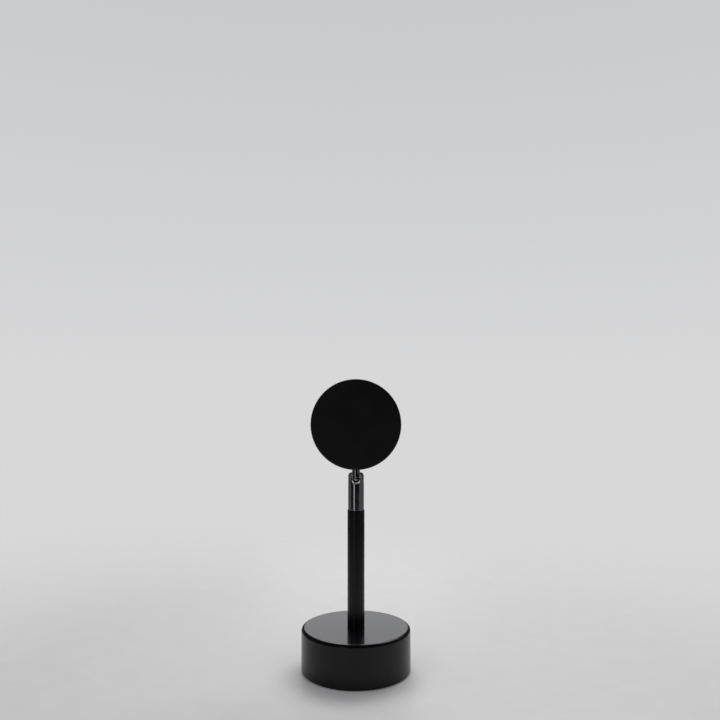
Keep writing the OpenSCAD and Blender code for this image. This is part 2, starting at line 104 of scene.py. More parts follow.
studio = bpy.data.worlds.new("studio")
studio.use_nodes = True
bpy.context.scene.world = studio
tree = studio.node_tree
way = add(tree, "ShaderNodeTexCoord")
towards = add(tree, "ShaderNodeSeparateXYZ", {"Vector": way.outputs["Generated"]})
backdrop = add(tree, "ShaderNodeValToRGB", {"Fac": towards.outputs["Z"]},
               stops=((0, "#d8d8d9"), (0.5, "#c8c9cc"), (0.78, "#38383b")))
ray = add(tree, "ShaderNodeLightPath")
mirrored = add(tree, "ShaderNodeMath", {0: ray.outputs["Is Glossy Ray"],
                                        1: ray.outputs["Is Transmission Ray"]}, operation="MAXIMUM")
seen = add(tree, "ShaderNodeMath", {0: ray.outputs["Is Camera Ray"], 1: mirrored.outputs[0]},
           operation="MAXIMUM")
shown = add(tree, "ShaderNodeMix", {"Factor": seen.outputs[0], "A": linear("#b4b4b7"),
                                    "B": backdrop.outputs["Color"]}, data_type="RGBA")
feed(tree.nodes["Background"], {"Color": shown.outputs[2]})

# Each soft box: where it stands, its width and height, and its radiance
soft_boxes = {
    "overhead": ((0.15, 0.62, 1.0), (1.0, 0.6), 3.6),
    "left_strip": ((-0.468, -0.918, 0.20), (0.2, 0.8), 0.65),
}
aimed_at = Vector((0, 0, 0.12))
for name, (stand_at, size, radiance) in soft_boxes.items():
    lamp = bpy.data.lights.new(name, "AREA")
    lamp.shape = "RECTANGLE"
    lamp.size, lamp.size_y = size
    lamp.energy = radiance * math.pi * size[0] * size[1]
    box = bpy.data.objects.new(name, lamp)
    bpy.context.scene.collection.objects.link(box)
    box.location = stand_at
    box.rotation_euler = (aimed_at - Vector(stand_at)).to_track_quat("-Z", "Y").to_euler()
    box.visible_camera = False

# Floor -----------------------------------------------------------------------------------
# A matt laminate table top, with a faint cloudy print. It runs out softly into the backdrop,
# at an even rate as the camera sees it.

def start(name):
    """A new material, its node tree, its shader, and where a point is on the lamp at rest."""
    made = bpy.data.materials.new(name)
    made.use_nodes = True
    tree = made.node_tree
    at = add(tree, "ShaderNodeTexCoord").outputs["Object"]
    return made, tree, tree.nodes["Principled BSDF"], at


def skinned(name, rings, ends=(True, True), joined=False):
    """A smooth mesh through rings of points, with its ends closed or joined to each other."""
    count = len(rings[0])
    points = [p for ring in rings for p in ring]
    faces = []
    for i in range(len(rings) if joined else len(rings) - 1):
        low, high = i * count, (i + 1) % len(rings) * count
        for k in range(count):
            after = (k + 1) % count
            faces.append((low + k, low + after, high + after, high + k))
    for ring, first in ((rings[0], 0), (rings[-1], (len(rings) - 1) * count)):
        if ends[first > 0] and not joined:
            points.append(tuple(sum(p[i] for p in ring) / count for i in range(3)))
            for k in range(count):
                faces.append((len(points) - 1, first + k, first + (k + 1) % count))
    mesh = bpy.data.meshes.new(name)
    mesh.from_pydata(points, [], faces)
    skin = bmesh.new()
    skin.from_mesh(mesh)
    bmesh.ops.recalc_face_normals(skin, faces=skin.faces)
    skin.to_mesh(mesh)
    skin.free()
    mesh.polygons.foreach_set("use_smooth", [True] * len(mesh.polygons))
    piece = bpy.data.objects.new(name, mesh)
    bpy.context.scene.collection.objects.link(piece)
    return piece


def circle(r, count):
    """Points at even steps round a circle, as pairs."""
    return [(r * math.cos(math.tau * k / count), r * math.sin(math.tau * k / count)) for k in range(count)]


mm = 0.001
floor_r = 1.7
floor_rings = 24
floor_spokes = 96
floor_drop = 0.02 * mm
fade_from, fade_to = 0.25, 1.6          # distances from the lamp
cloud_width = 25 * mm
rings = []
for i in range(1, floor_rings + 1):
    r = floor_r * (i / floor_rings) ** 2
    rings.append([(x, y, -floor_drop) for x, y in circle(r, floor_spokes)])
floor = skinned("floor", rings, ends=(True, False))

laminate, tree, shader, at = start("matt_laminate")
cloud = add(tree, "ShaderNodeTexNoise", {"Vector": at, "Scale": 1 / cloud_width, "Detail": 3})
tone = add(tree, "ShaderNodeValToRGB", {"Fac": cloud.outputs["Fac"]},
           stops=((0.3, "#e6e5e4"), (0.7, "#e9e8e7")))
feed(shader, {"Base Color": tone.outputs["Color"], "Roughness": 0.45, "IOR": 1.45})
out = add(tree, "ShaderNodeVectorMath", {0: at}, operation="LENGTH")
near = add(tree, "ShaderNodeMath", {0: 1.0, 1: out.outputs["Value"]}, operation="DIVIDE")
fade = add(tree, "ShaderNodeMapRange", {"Value": near.outputs[0], "From Min": 1 / fade_from,
                                        "From Max": 1 / fade_to}, interpolation_type="SMOOTHERSTEP")
clear = add(tree, "ShaderNodeBsdfTransparent")
run_out = add(tree, "ShaderNodeMixShader", {0: fade.outputs["Result"], 1: shader.outputs[0],
                                            2: clear.outputs[0]})
feed(tree.nodes["Material Output"], {"Surface": run_out.outputs[0]})
floor.data.materials.append(laminate)

# Cloths ----------------------------------------------------------------------------------
# Black velvet hung in a curve in front, and grey felt at both sides, out of the picture. Only
# mirrored rays meet them: they keep the black finishes black and give the chrome its bands.

cloth_r = 1.5
cloth_heights = (-0.4, 2.0)
cloth_step = 4                          # degrees
tuft = 4 * mm
# Each cloth: where it starts and ends, in degrees from straight in front, and its two tones
cloths = {
    "black_velvet": (-79, 46, "#101011", "#161617"),
    "grey_felt_left": (-170, -79, "#69696c", "#727275"),
    "grey_felt_right": (46, 170, "#69696c", "#727275"),
}
for name, (begins, ends, dark, bright) in cloths.items():
    steps = round((ends - begins) / cloth_step)
    rings = []
    for i in range(steps + 1):
        a = math.radians(begins + (ends - begins) * i / steps)
        rings.append([(cloth_r * math.sin(a), -cloth_r * math.cos(a), z) for z in cloth_heights])
    cloth = skinned(name, rings, ends=(False, False))
    cloth.visible_camera = cloth.visible_diffuse = cloth.visible_shadow = False
    fabric, tree, shader, at = start(name)
    pile = add(tree, "ShaderNodeTexNoise", {"Vector": at, "Scale": 1 / tuft})
    tone = add(tree, "ShaderNodeValToRGB", {"Fac": pile.outputs["Fac"]},
               stops=((0.3, dark), (0.7, bright)))
    feed(shader, {"Base Color": tone.outputs["Color"], "Roughness": 1, "Specular IOR Level": 0})
    cloth.data.materials.append(fabric)

# Foot pad --------------------------------------------------------------------------------
# A disc of closed-cell EVA foam, die cut and glued under the base so that it doesn't slide or
# scratch. Its cut cells make it very matt.

def give(material, *nodes):
    """Puts a material on CAD nodes."""
    for name in nodes:
        frame["nodes"][name].material_slots[0].material = material


cell, cell_depth = 0.35 * mm, 0.08 * mm       # drawn coarser than they are, to show close up
foam, tree, shader, at = start("eva_foam")
cells = add(tree, "ShaderNodeTexVoronoi", {"Vector": at, "Scale": 1 / cell})
# The ramp paints the hollows of the cells darker: painted shade in the pores.
tone = add(tree, "ShaderNodeValToRGB", {"Fac": cells.outputs["Distance"]},
           stops=((0, "#0d0d0e"), (0.6, "#1d1d1f")))
pores = add(tree, "ShaderNodeBump", {"Height": cells.outputs["Distance"], "Distance": cell_depth})
feed(shader, {"Base Color": tone.outputs["Color"], "Roughness": 0.85, "IOR": 1.48,
              "Normal": pores.outputs["Normal"]})
give(foam, "foot_pad")

# Bottom plate and small screws -----------------------------------------------------------
# A blanked disc of sheet steel and the screws of the whole lamp, all bright zinc plated. The
# thin plating shows the rolling grain of the sheet and a faint blue and yellow cast.

grain_length, grain_width, grain_depth = 6 * mm, 0.3 * mm, 0.004 * mm
cast_width = 9 * mm
zinc, tree, shader, at = start("bright_zinc_on_rolled_steel")
rolled = add(tree, "ShaderNodeMapping", {"Vector": at,
                                         "Scale": (1 / grain_length, 1 / grain_width, 1 / grain_width)})
grain = add(tree, "ShaderNodeTexNoise", {"Vector": rolled.outputs["Vector"], "Scale": 1, "Detail": 4})
cast = add(tree, "ShaderNodeTexNoise", {"Vector": at, "Scale": 1 / cast_width, "Detail": 2})
tone = add(tree, "ShaderNodeValToRGB", {"Fac": cast.outputs["Fac"]},
           stops=((0.3, "#b3b9c0"), (0.5, "#bfc1c2"), (0.7, "#c3bfae")))
dull = add(tree, "ShaderNodeMapRange", {"Value": grain.outputs["Fac"], "To Min": 0.28, "To Max": 0.48})
lines = add(tree, "ShaderNodeBump", {"Height": grain.outputs["Fac"], "Distance": grain_depth})
feed(shader, {"Base Color": tone.outputs["Color"], "Metallic": 1, "Roughness": dull.outputs["Result"],
              "Normal": lines.outputs["Normal"]})
give(zinc, "bottom_plate", "plate_screws", "board_screws", "sink_screws", "led_screws", "cup_screws")

# Base shell ------------------------------------------------------------------------------
# A cup of spun sheet steel, sprayed satin black, with a clear coat on its flat top, and baked. The
# wet coat drew itself nearly flat, so the top mirrors the pole, with a trace of orange peel.

peel, peel_depth = 1.6 * mm, 0.002 * mm
touched = 22 * mm                       # how wide the spots are that hands left duller
coat_thins, coat_ends = 0.02 * mm, 0.1 * mm     # how far down the rounded edge the coat runs out
shell_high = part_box("base_shell")[1]
lacquer, tree, shader, at = start("baked_black_lacquer")
ripple = add(tree, "ShaderNodeTexNoise", {"Vector": at, "Scale": 1 / peel, "Detail": 1})
handled = add(tree, "ShaderNodeTexNoise", {"Vector": at, "Scale": 1 / touched, "Detail": 3})
sheen = add(tree, "ShaderNodeMapRange", {"Value": handled.outputs["Fac"], "From Min": 0.3,
                                         "From Max": 0.7, "To Min": 0.2, "To Max": 0.26})
tone = add(tree, "ShaderNodeValToRGB", {"Fac": handled.outputs["Fac"]},
           stops=((0.3, "#060608"), (0.7, "#09080b")))
skin = add(tree, "ShaderNodeBump", {"Height": ripple.outputs["Fac"], "Distance": peel_depth})
height = add(tree, "ShaderNodeSeparateXYZ", {"Vector": at}).outputs["Z"]
on_top = add(tree, "ShaderNodeMapRange", {"Value": height, "From Min": shell_high.z - coat_ends,
                                          "From Max": shell_high.z - coat_thins})
feed(shader, {"Base Color": tone.outputs["Color"], "Roughness": sheen.outputs["Result"], "IOR": 1.5,
              "Specular IOR Level": 0.3, "Normal": skin.outputs["Normal"],
              "Coat Weight": on_top.outputs["Result"], "Coat Roughness": 0.05,
              "Coat IOR": 1.6, "Coat Normal": skin.outputs["Normal"]})
give(lacquer, "base_shell")

# Pole ------------------------------------------------------------------------------------
# A drawn steel tube, sprayed with the same black as the base and baked, but without the clear
# coat. It is satin, and drawing left faint streaks along it.

streak_width, streak_length, streak_depth = 1.2 * mm, 14 * mm, 0.003 * mm
touched = 16 * mm
satin, tree, shader, at = start("baked_satin_black")
drawn = add(tree, "ShaderNodeMapping", {"Vector": at,
                                        "Scale": (1 / streak_width, 1 / streak_width, 1 / streak_length)})
ripple = add(tree, "ShaderNodeTexNoise", {"Vector": drawn.outputs["Vector"], "Scale": 1, "Detail": 2})
handled = add(tree, "ShaderNodeTexNoise", {"Vector": at, "Scale": 1 / touched, "Detail": 3})
sheen = add(tree, "ShaderNodeMapRange", {"Value": handled.outputs["Fac"], "From Min": 0.3,
                                         "From Max": 0.7, "To Min": 0.24, "To Max": 0.31})
tone = add(tree, "ShaderNodeValToRGB", {"Fac": handled.outputs["Fac"]},
           stops=((0.3, "#060608"), (0.7, "#09080b")))
skin = add(tree, "ShaderNodeBump", {"Height": ripple.outputs["Fac"], "Distance": streak_depth})
feed(shader, {"Base Color": tone.outputs["Color"], "Roughness": sheen.outputs["Result"], "IOR": 1.5,
              "Specular IOR Level": 0.3, "Normal": skin.outputs["Normal"]})
give(satin, "pole_tube")

# Base weight -----------------------------------------------------------------------------
# A ring of grey cast iron with three legs that the bottom plate is screwed to. It was cast in
# sand and only shaken clean, so it is dark, dull and grainy.

sand, sand_depth = 0.9 * mm, 0.12 * mm
scale_width = 7 * mm
iron, tree, shader, at = start("sand_cast_iron")
grit = add(tree, "ShaderNodeTexNoise", {"Vector": at, "Scale": 1 / sand, "Detail": 5})
scale_skin = add(tree, "ShaderNodeTexNoise", {"Vector": at, "Scale": 1 / scale_width, "Detail": 4})
tone = add(tree, "ShaderNodeValToRGB", {"Fac": scale_skin.outputs["Fac"]},
           stops=((0.3, "#4a4643"), (0.6, "#5a5a5c"), (0.75, "#6b5b4e")))
dull = add(tree, "ShaderNodeMapRange", {"Value": scale_skin.outputs["Fac"], "To Min": 0.55, "To Max": 0.8})
rough = add(tree, "ShaderNodeBump", {"Height": grit.outputs["Fac"], "Distance": sand_depth})
feed(shader, {"Base Color": tone.outputs["Color"], "Metallic": 1, "Roughness": dull.outputs["Result"],
              "Normal": rough.outputs["Normal"]})
give(iron, "base_weight")

# Cable grommet ---------------------------------------------------------------------------
# A moulded rubber grommet that snaps into the hole at the back of the base, where the cord
# goes in. Its fine spark-eroded texture comes from the mould.

pit, pit_depth = 0.25 * mm, 0.02 * mm         # drawn coarser than they are, to show close up
bloom_width = 5 * mm
rubber, tree, shader, at = start("moulded_rubber")
eroded = add(tree, "ShaderNodeTexNoise", {"Vector": at, "Scale": 1 / pit, "Detail": 3})
bloom = add(tree, "ShaderNodeTexNoise", {"Vector": at, "Scale": 1 / bloom_width, "Detail": 3})
tone = add(tree, "ShaderNodeValToRGB", {"Fac": bloom.outputs["Fac"]},
           stops=((0.35, "#161617"), (0.7, "#202022")))
skin = add(tree, "ShaderNodeBump", {"Height": eroded.outputs["Fac"], "Distance": pit_depth})
feed(shader, {"Base Color": tone.outputs["Color"], "Roughness": 0.62, "IOR": 1.52,
              "Normal": skin.outputs["Normal"]})
give(rubber, "cable_grommet", "neck_washer", "lens_gasket")

# Driver board ----------------------------------------------------------------------------
# A glass-fibre board under green solder mask, screwed to the underside of the weight. The copper
# under the mask shows as lighter, slightly raised islands with square edges.

island = 2.6 * mm
bare_share = 0.4                        # of the islands have no copper
copper_t = 0.035 * mm
mask, tree, shader, at = start("green_solder_mask")
islands = add(tree, "ShaderNodeTexVoronoi", {"Vector": at, "Scale": 1 / island}, distance="CHEBYCHEV")
lot = add(tree, "ShaderNodeSeparateXYZ", {"Vector": islands.outputs["Color"]})
raised = add(tree, "ShaderNodeMath", {0: lot.outputs["X"], 1: bare_share}, operation="GREATER_THAN")
tone = add(tree, "ShaderNodeValToRGB", {"Fac": raised.outputs[0]},
           stops=((0, "#1f5c36"), (1, "#2b7a48")))
edge = add(tree, "ShaderNodeBump", {"Height": raised.outputs[0], "Distance": copper_t})
feed(shader, {"Base Color": tone.outputs["Color"], "Roughness": 0.3, "IOR": 1.55,
              "Normal": edge.outputs["Normal"]})
give(mask, "driver_board")

# Coil ------------------------------------------------------------------------------------
# A pressed ferrite bobbin, wound with one layer of thick enamelled copper wire. Ferrite is dark,
# dull and fine grained, and the enamel gives the copper a clear amber coat.

coil_low, coil_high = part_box("driver_coil")
coil_middle = (coil_low + coil_high) / 2
flange_r = (coil_high.x - coil_low.x) / 2
flange_t = 0.8 * mm
core_r = 3.05 * mm
wire_r = 0.16 * mm
bevel = 0.12 * mm
coil_spokes = 48
sharp_from = math.radians(30)           # edges that turn more than this stay crisp
inner_low, inner_high = coil_low.z + flange_t, coil_high.z - flange_t
# The radius and height of each ring of the bobbin
outline = ((flange_r - bevel, coil_low.z), (flange_r, coil_low.z + bevel),
           (flange_r, inner_low - bevel), (flange_r - bevel, inner_low),
           (core_r, inner_low), (core_r, inner_high),
           (flange_r - bevel, inner_high), (flange_r, inner_high + bevel),
           (flange_r, coil_high.z - bevel), (flange_r - bevel, coil_high.z))
bobbin = skinned("ferrite_bobbin", [[(coil_middle.x + x, coil_middle.y + y, z)
                                     for x, y in circle(r, coil_spokes)] for r, z in outline])
bobbin.data.set_sharp_from_angle(angle=sharp_from)

grain_width, grain_depth = 0.2 * mm, 0.02 * mm     # drawn coarser than it is, to show close up
ferrite, tree, shader, at = start("pressed_ferrite")
grain = add(tree, "ShaderNodeTexNoise", {"Vector": at, "Scale": 1 / grain_width, "Detail": 3})
tone = add(tree, "ShaderNodeValToRGB", {"Fac": grain.outputs["Fac"]},
           stops=((0.3, "#262528"), (0.7, "#343336")))
pits = add(tree, "ShaderNodeBump", {"Height": grain.outputs["Fac"], "Distance": grain_depth})
feed(shader, {"Base Color": tone.outputs["Color"], "Roughness": 0.65, "IOR": 2.2,
              "Normal": pits.outputs["Normal"]})
bobbin.data.materials.append(ferrite)

wire_gap = 0.02 * mm
turn_steps = 24
wire_sides = 8
lay = 2 * wire_r + wire_gap
wire_turns = int((inner_high - inner_low - 2 * wire_r) / lay)
rings = []
for i in range(wire_turns * turn_steps + 1):
    a = math.tau * i / turn_steps
    rise = inner_low + wire_r + wire_gap + lay * i / turn_steps
    ring = []
    for k in range(wire_sides):
        b = math.tau * k / wire_sides
        r = core_r + wire_r * (1 + math.cos(b))
        ring.append((coil_middle.x + r * math.cos(a), coil_middle.y + r * math.sin(a),
                     rise + wire_r * math.sin(b)))
    rings.append(ring)
winding = skinned("copper_winding", rings)

die_mark = 1.5 * mm
copper, tree, shader, at = start("enamelled_copper")
drawn = add(tree, "ShaderNodeTexNoise", {"Vector": at, "Scale": 1 / die_mark, "Detail": 2})
tone = add(tree, "ShaderNodeValToRGB", {"Fac": drawn.outputs["Fac"]},
           stops=((0.3, "#a9582b"), (0.7, "#c0713f")))
feed(shader, {"Base Color": tone.outputs["Color"], "Metallic": 1, "Roughness": 0.28, "Coat Weight": 1,
              "Coat Roughness": 0.1})
winding.data.materials.append(copper)

for piece in (bobbin, winding):
    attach(piece, "stand")
    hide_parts("driver_coil")

# Capacitor -------------------------------------------------------------------------------
# An aluminium can in a shrunk PET sleeve, dark blue with a pale stripe on the side of its
# negative lead. The sleeve is glossy, with faint wrinkles.

can_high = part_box("driver_capacitor")[1]
stripe, stripe_edge = 0.7 * mm, 0.1 * mm      # its depth into the can's side, and its soft edge
wrinkle_width, wrinkle_depth = 1.5 * mm, 0.02 * mm
sleeve, tree, shader, at = start("shrunk_pet_sleeve")
spot = add(tree, "ShaderNodeSeparateXYZ", {"Vector": at})
striped = add(tree, "ShaderNodeMapRange", {"Value": spot.outputs["X"], "From Min": can_high.x - stripe,
                                           "From Max": can_high.x - stripe + stripe_edge})
tone = add(tree, "ShaderNodeValToRGB", {"Fac": striped.outputs["Result"]},
           stops=((0, "#1b2148"), (1, "#b9bcc8")))
shrunk = add(tree, "ShaderNodeTexNoise", {"Vector": at, "Scale": 1 / wrinkle_width})
wrinkle = add(tree, "ShaderNodeBump", {"Height": shrunk.outputs["Fac"], "Distance": wrinkle_depth})
feed(shader, {"Base Color": tone.outputs["Color"], "Roughness": 0.25, "IOR": 1.57,
              "Normal": wrinkle.outputs["Normal"]})
give(sleeve, "driver_capacitor")

# Chip ------------------------------------------------------------------------------------
# The driver chip, moulded in black epoxy, with eight tinned legs that are soldered to the board.
# The eroded surface of its mould leaves it matt.

chip_low, chip_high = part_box("driver_chip")
leg_reach = 0.95 * mm
pit, pit_depth = 0.15 * mm, 0.01 * mm
epoxy, tree, shader, at = start("moulded_epoxy_and_tin")
spot = add(tree, "ShaderNodeSeparateXYZ", {"Vector": at})
from_middle = add(tree, "ShaderNodeMath", {0: spot.outputs["Y"], 1: (chip_low.y + chip_high.y) / 2},
                  operation="SUBTRACT")
reach = add(tree, "ShaderNodeMath", {0: from_middle.outputs[0]}, operation="ABSOLUTE")
tinned = add(tree, "ShaderNodeMath", {0: reach.outputs[0],
                                      1: (chip_high.y - chip_low.y) / 2 - leg_reach},
             operation="GREATER_THAN")
tone = add(tree, "ShaderNodeValToRGB", {"Fac": tinned.outputs[0]},
           stops=((0, "#1c1c1e"), (1, "#b8babd")))
eroded = add(tree, "ShaderNodeTexNoise", {"Vector": at, "Scale": 1 / pit})
skin = add(tree, "ShaderNodeBump", {"Height": eroded.outputs["Fac"], "Distance": pit_depth})
feed(shader, {"Base Color": tone.outputs["Color"], "Metallic": tinned.outputs[0], "Roughness": 0.5,
              "IOR": 1.55, "Normal": skin.outputs["Normal"]})
give(epoxy, "driver_chip")

# Threaded rod, washer and nuts -----------------------------------------------------------
# A hollow M10 lamp rod holds pole, shell and weight together, with a washer and a nut below.
# All are machined from mild steel and yellow zinc plated.

mark_length, mark_width, mark_depth = 2 * mm, 0.12 * mm, 0.006 * mm
cast_width = 4 * mm
passivated, tree, shader, at = start("yellow_zinc_on_machined_steel")
machined = add(tree, "ShaderNodeMapping", {"Vector": at,
                                           "Scale": (1 / mark_length, 1 / mark_length, 1 / mark_width)})
marks = add(tree, "ShaderNodeTexNoise", {"Vector": machined.outputs["Vector"], "Scale": 1, "Detail": 3})
cast = add(tree, "ShaderNodeTexNoise", {"Vector": at, "Scale": 1 / cast_width, "Detail": 2})
tone = add(tree, "ShaderNodeValToRGB", {"Fac": cast.outputs["Fac"]},
           stops=((0.3, "#c2b184"), (0.55, "#c9bd9a"), (0.75, "#b9a5a0")))
dull = add(tree, "ShaderNodeMapRange", {"Value": marks.outputs["Fac"], "To Min": 0.22, "To Max": 0.42})
lines = add(tree, "ShaderNodeBump", {"Height": marks.outputs["Fac"], "Distance": mark_depth})
feed(shader, {"Base Color": tone.outputs["Color"], "Metallic": 1, "Roughness": dull.outputs["Result"],
              "Normal": lines.outputs["Normal"]})
give(passivated, "nipple_washer", "nipple_nut", "neck_nut")

pitch = 1 * mm
thread_depth = 0.61 * mm
rows_in_pitch = 8
rod_spokes = 40
rod_bore_r = 3.2 * mm
crest_from = math.radians(40)           # the thread's crests and roots turn more than this
rod_low, rod_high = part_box("pole_nipple")
rod_r = rod_high.x
rows = round((rod_high.z - rod_low.z) / pitch * rows_in_pitch)
rings = []
for i in range(rows + 1):
    z = rod_low.z + (rod_high.z - rod_low.z) * i / rows
    ring = []
    for k in range(rod_spokes):
        a = math.tau * k / rod_spokes
        flank = abs((z / pitch - k / rod_spokes) % 1 * 2 - 1)
        chamfer = rod_r - thread_depth + min(z - rod_low.z, rod_high.z - z)
        r = min(rod_r - thread_depth * flank, chamfer)
        ring.append((r * math.cos(a), r * math.sin(a), z))
    rings.append(ring)
for z in (rod_high.z, rod_low.z):
    rings.append([(x, y, z) for x, y in circle(rod_bore_r, rod_spokes)])
rod = skinned("threaded_rod", rings, joined=True)
rod.data.set_sharp_from_angle(angle=crest_from)
rod.data.materials.append(passivated)
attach(rod, "stand")
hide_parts("pole_nipple")

# Pole plugs ------------------------------------------------------------------------------
# Two turned steel bushes pressed into the ends of the pole. The lower one takes the rod and the
# upper one the spigot of the fork. The tool left fine rings, and they are only oiled.

feed_mark = 0.15 * mm
mark_slope = 0.3                        # of the rings' flanks
stain_width = 3 * mm
bush, tree, shader, at = start("turned_mild_steel")
height = add(tree, "ShaderNodeSeparateXYZ", {"Vector": at}).outputs["Z"]
ring = add(tree, "ShaderNodeMath", {0: height, 1: feed_mark / 2}, operation="PINGPONG")
stain = add(tree, "ShaderNodeTexNoise", {"Vector": at, "Scale": 1 / stain_width, "Detail": 3})
tone = add(tree, "ShaderNodeValToRGB", {"Fac": stain.outputs["Fac"]},
           stops=((0.35, "#8b8a88"), (0.7, "#a5a5a4")))
dull = add(tree, "ShaderNodeMapRange", {"Value": stain.outputs["Fac"], "To Min": 0.25, "To Max": 0.45})
lines = add(tree, "ShaderNodeBump", {"Height": ring.outputs[0], "Distance": mark_slope})
feed(shader, {"Base Color": tone.outputs["Color"], "Metallic": 1, "Roughness": dull.outputs["Result"],
              "Normal": lines.outputs["Normal"]})
give(bush, "pole_foot_plug", "pole_top_plug")

# Fork ------------------------------------------------------------------------------------
# Turned from steel bar with a rounded top, slotted by a round cutter, cross drilled for the two
# pivot screws, polished and chrome plated. Polishing rounds every edge a little.

polish_r = 0.25 * mm                    # how far polishing rounds the edges
fine_edge = 0.12 * mm                   # and the edges that the wheel hardly reaches
voxel = 0.17 * mm
facets_kept = 0.3


def cut(solid, tool, edge=polish_r):
    """The distance to a solid with a tool's shape taken away, and the new edge rounded."""
    both = np.maximum(solid, -tool)
    corner = np.hypot(np.maximum(solid + edge, 0), np.maximum(edge - tool, 0))
    return np.minimum(both, -edge) + corner


def polished(name, node, distance):
    """A CAD node's solid as an even mesh, drawn in a few passes onto the surface at distance 0."""
    piece = bpy.data.objects.new(name, frame["nodes"][node].data.copy())
    bpy.context.scene.collection.objects.link(piece)
    even = piece.modifiers.new("even", "REMESH")
    even.mode = "VOXEL"
    even.voxel_size = voxel
    fewer = piece.modifiers.new("fewer", "DECIMATE")
    fewer.ratio = facets_kept
    mesh = bpy.data.meshes.new_from_object(piece.evaluated_get(bpy.context.evaluated_depsgraph_get()))
    piece.modifiers.clear()
    piece.data = mesh
    points = np.zeros(3 * len(mesh.vertices))
    mesh.vertices.foreach_get("co", points)
    points = points.reshape(-1, 3)
    step, passes = 1e-6, 5
    for _ in range(passes):
        slope = np.stack([(distance(points + step * axis) - distance(points - step * axis)) / (2 * step)
                          for axis in np.eye(3)], axis=1)
        slope /= np.maximum(np.linalg.norm(slope, axis=1, keepdims=True), 1e-9)
        points -= distance(points)[:, None] * slope
    mesh.vertices.foreach_set("co", points.ravel())
    mesh.polygons.foreach_set("use_smooth", [True] * len(mesh.polygons))
    mesh.update()
    mesh.normals_split_custom_set_from_vertices(slope)
    mesh.materials.clear()
    return piece


pivot = Vector(frame["joints"][0]["pos_m"])
fork_low, fork_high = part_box("fork")
fork_r = fork_high.x
shoulder_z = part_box("pole_tube")[1].z
shoulder_edge = 0.15 * mm
spigot_r = 4 * mm
fork_edge_r = 3.4 * mm
slot_r = 3.6 * mm
slot_z = pivot.z - 0.3 * mm             # where its round bottom is centred
wire_way_r = 2.2 * mm
pivot_bore_r = 1.3 * mm
counterbore_r = 2.25 * mm
counterbore_x = 5 * mm
seat_r, seat_x = 1.9 * mm, 3.7 * mm      # the friction washers' seats


def fork_surface(p):
    """How far points are outside the fork."""
    x, y, z = p.T
    r = np.hypot(x, y)
    over_r, over_z = r - (fork_r - fork_edge_r), z - (fork_high.z - fork_edge_r)
    bar = (np.hypot(np.maximum(over_r, 0), np.maximum(over_z, 0))
           + np.minimum(np.maximum(over_r, over_z), 0) - fork_edge_r)
    body = cut(bar, z - shoulder_z, shoulder_edge)
    spigot = np.maximum(np.maximum(r - spigot_r, fork_low.z - z), z - shoulder_z - fork_r)
    body = np.minimum(body, spigot)
    slot = np.where(z > slot_z, np.abs(x), np.hypot(x, z - slot_z)) - slot_r
    body = cut(body, slot)
    around_pivot = np.hypot(y, z - pivot.z)
    body = cut(body, np.maximum(around_pivot - counterbore_r, counterbore_x - np.abs(x)), fine_edge)
    body = np.maximum(body, pivot_bore_r - around_pivot)
    body = np.maximum(body, -np.maximum(around_pivot - seat_r, np.abs(x) - seat_x))
    return np.maximum(body, wire_way_r - r)


smudge_width = 4 * mm
chrome, tree, shader, at = start("polished_chrome_plate")
smudge = add(tree, "ShaderNodeTexNoise", {"Vector": at, "Scale": 1 / smudge_width, "Detail": 4})
haze = add(tree, "ShaderNodeMapRange", {"Value": smudge.outputs["Fac"], "From Min": 0.35,
                                        "From Max": 0.7, "To Min": 0.05, "To Max": 0.13})
tone = add(tree, "ShaderNodeValToRGB", {"Fac": smudge.outputs["Fac"]},
           stops=((0.35, "#c6c6c7"), (0.7, "#bfc0c2")))
feed(shader, {"Base Color": tone.outputs["Color"], "Metallic": 1, "Roughness": haze.outputs["Result"]})

fork = polished("tilt_fork", "fork", fork_surface)
fork.data.materials.append(chrome)
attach(fork, "stand")
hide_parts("fork")

# Pivot screws ----------------------------------------------------------------------------
# Two button-head shoulder screws, turned from steel, with a broached hexagon socket, and chrome
# plated as the fork is. Each sits in an ear of the fork, and its plain tip carries the tongue.

tip_x, thread_x, seat_at_x = 1.8 * mm, 3.6 * mm, 5 * mm
tip_r, thread_r, button_r = 1.1 * mm, 1.25 * mm, 2.1 * mm
button_edge_x, button_top_x, button_flat_r = 6.5 * mm, 6.85 * mm, 1.1 * mm
socket_flats, socket_depth = 1.5 * mm, 0.95 * mm
screw_spokes = 48
dome_steps = 6

# The x and radius of each ring, from the tip out to the button's flat top
outline = [(tip_x, tip_r - bevel), (tip_x + bevel, tip_r), (thread_x, tip_r), (thread_x, thread_r),
           (seat_at_x, thread_r), (seat_at_x, button_r), (button_edge_x, button_r)]
for i in range(1, dome_steps + 1):
    a = math.pi / 2 * i / dome_steps
    outline.append((button_edge_x + (button_top_x - button_edge_x) * math.sin(a),
                    button_flat_r + (button_r - button_flat_r) * math.cos(a)))
sixth = math.tau / 6
hexagon = []                            # the socket's radius at each spoke
for k in range(screw_spokes):
    from_flat = (math.tau * k / screw_spokes + sixth / 2) % sixth - sixth / 2
    hexagon.append(socket_flats / 2 / math.cos(from_flat))
socket_rings = ((button_top_x, bevel / 2), (button_top_x - bevel / 2, 0), (button_top_x - socket_depth, 0))
for name, side in (("pivot_screw_left", -1), ("pivot_screw_right", 1)):
    rings = [[(x, r)] * screw_spokes for x, r in outline]
    for x, widened in socket_rings:
        rings.append([(x, r + widened) for r in hexagon])
    rings = [[(side * x, r * math.cos(math.tau * k / screw_spokes),
               pivot.z + r * math.sin(math.tau * k / screw_spokes)) for k, (x, r) in enumerate(ring)]
             for ring in rings]
    screw = skinned(name, rings)
    screw.data.set_sharp_from_angle(angle=sharp_from)
    screw.data.materials.append(chrome)
    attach(screw, "stand")
    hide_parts("pivot_screws")

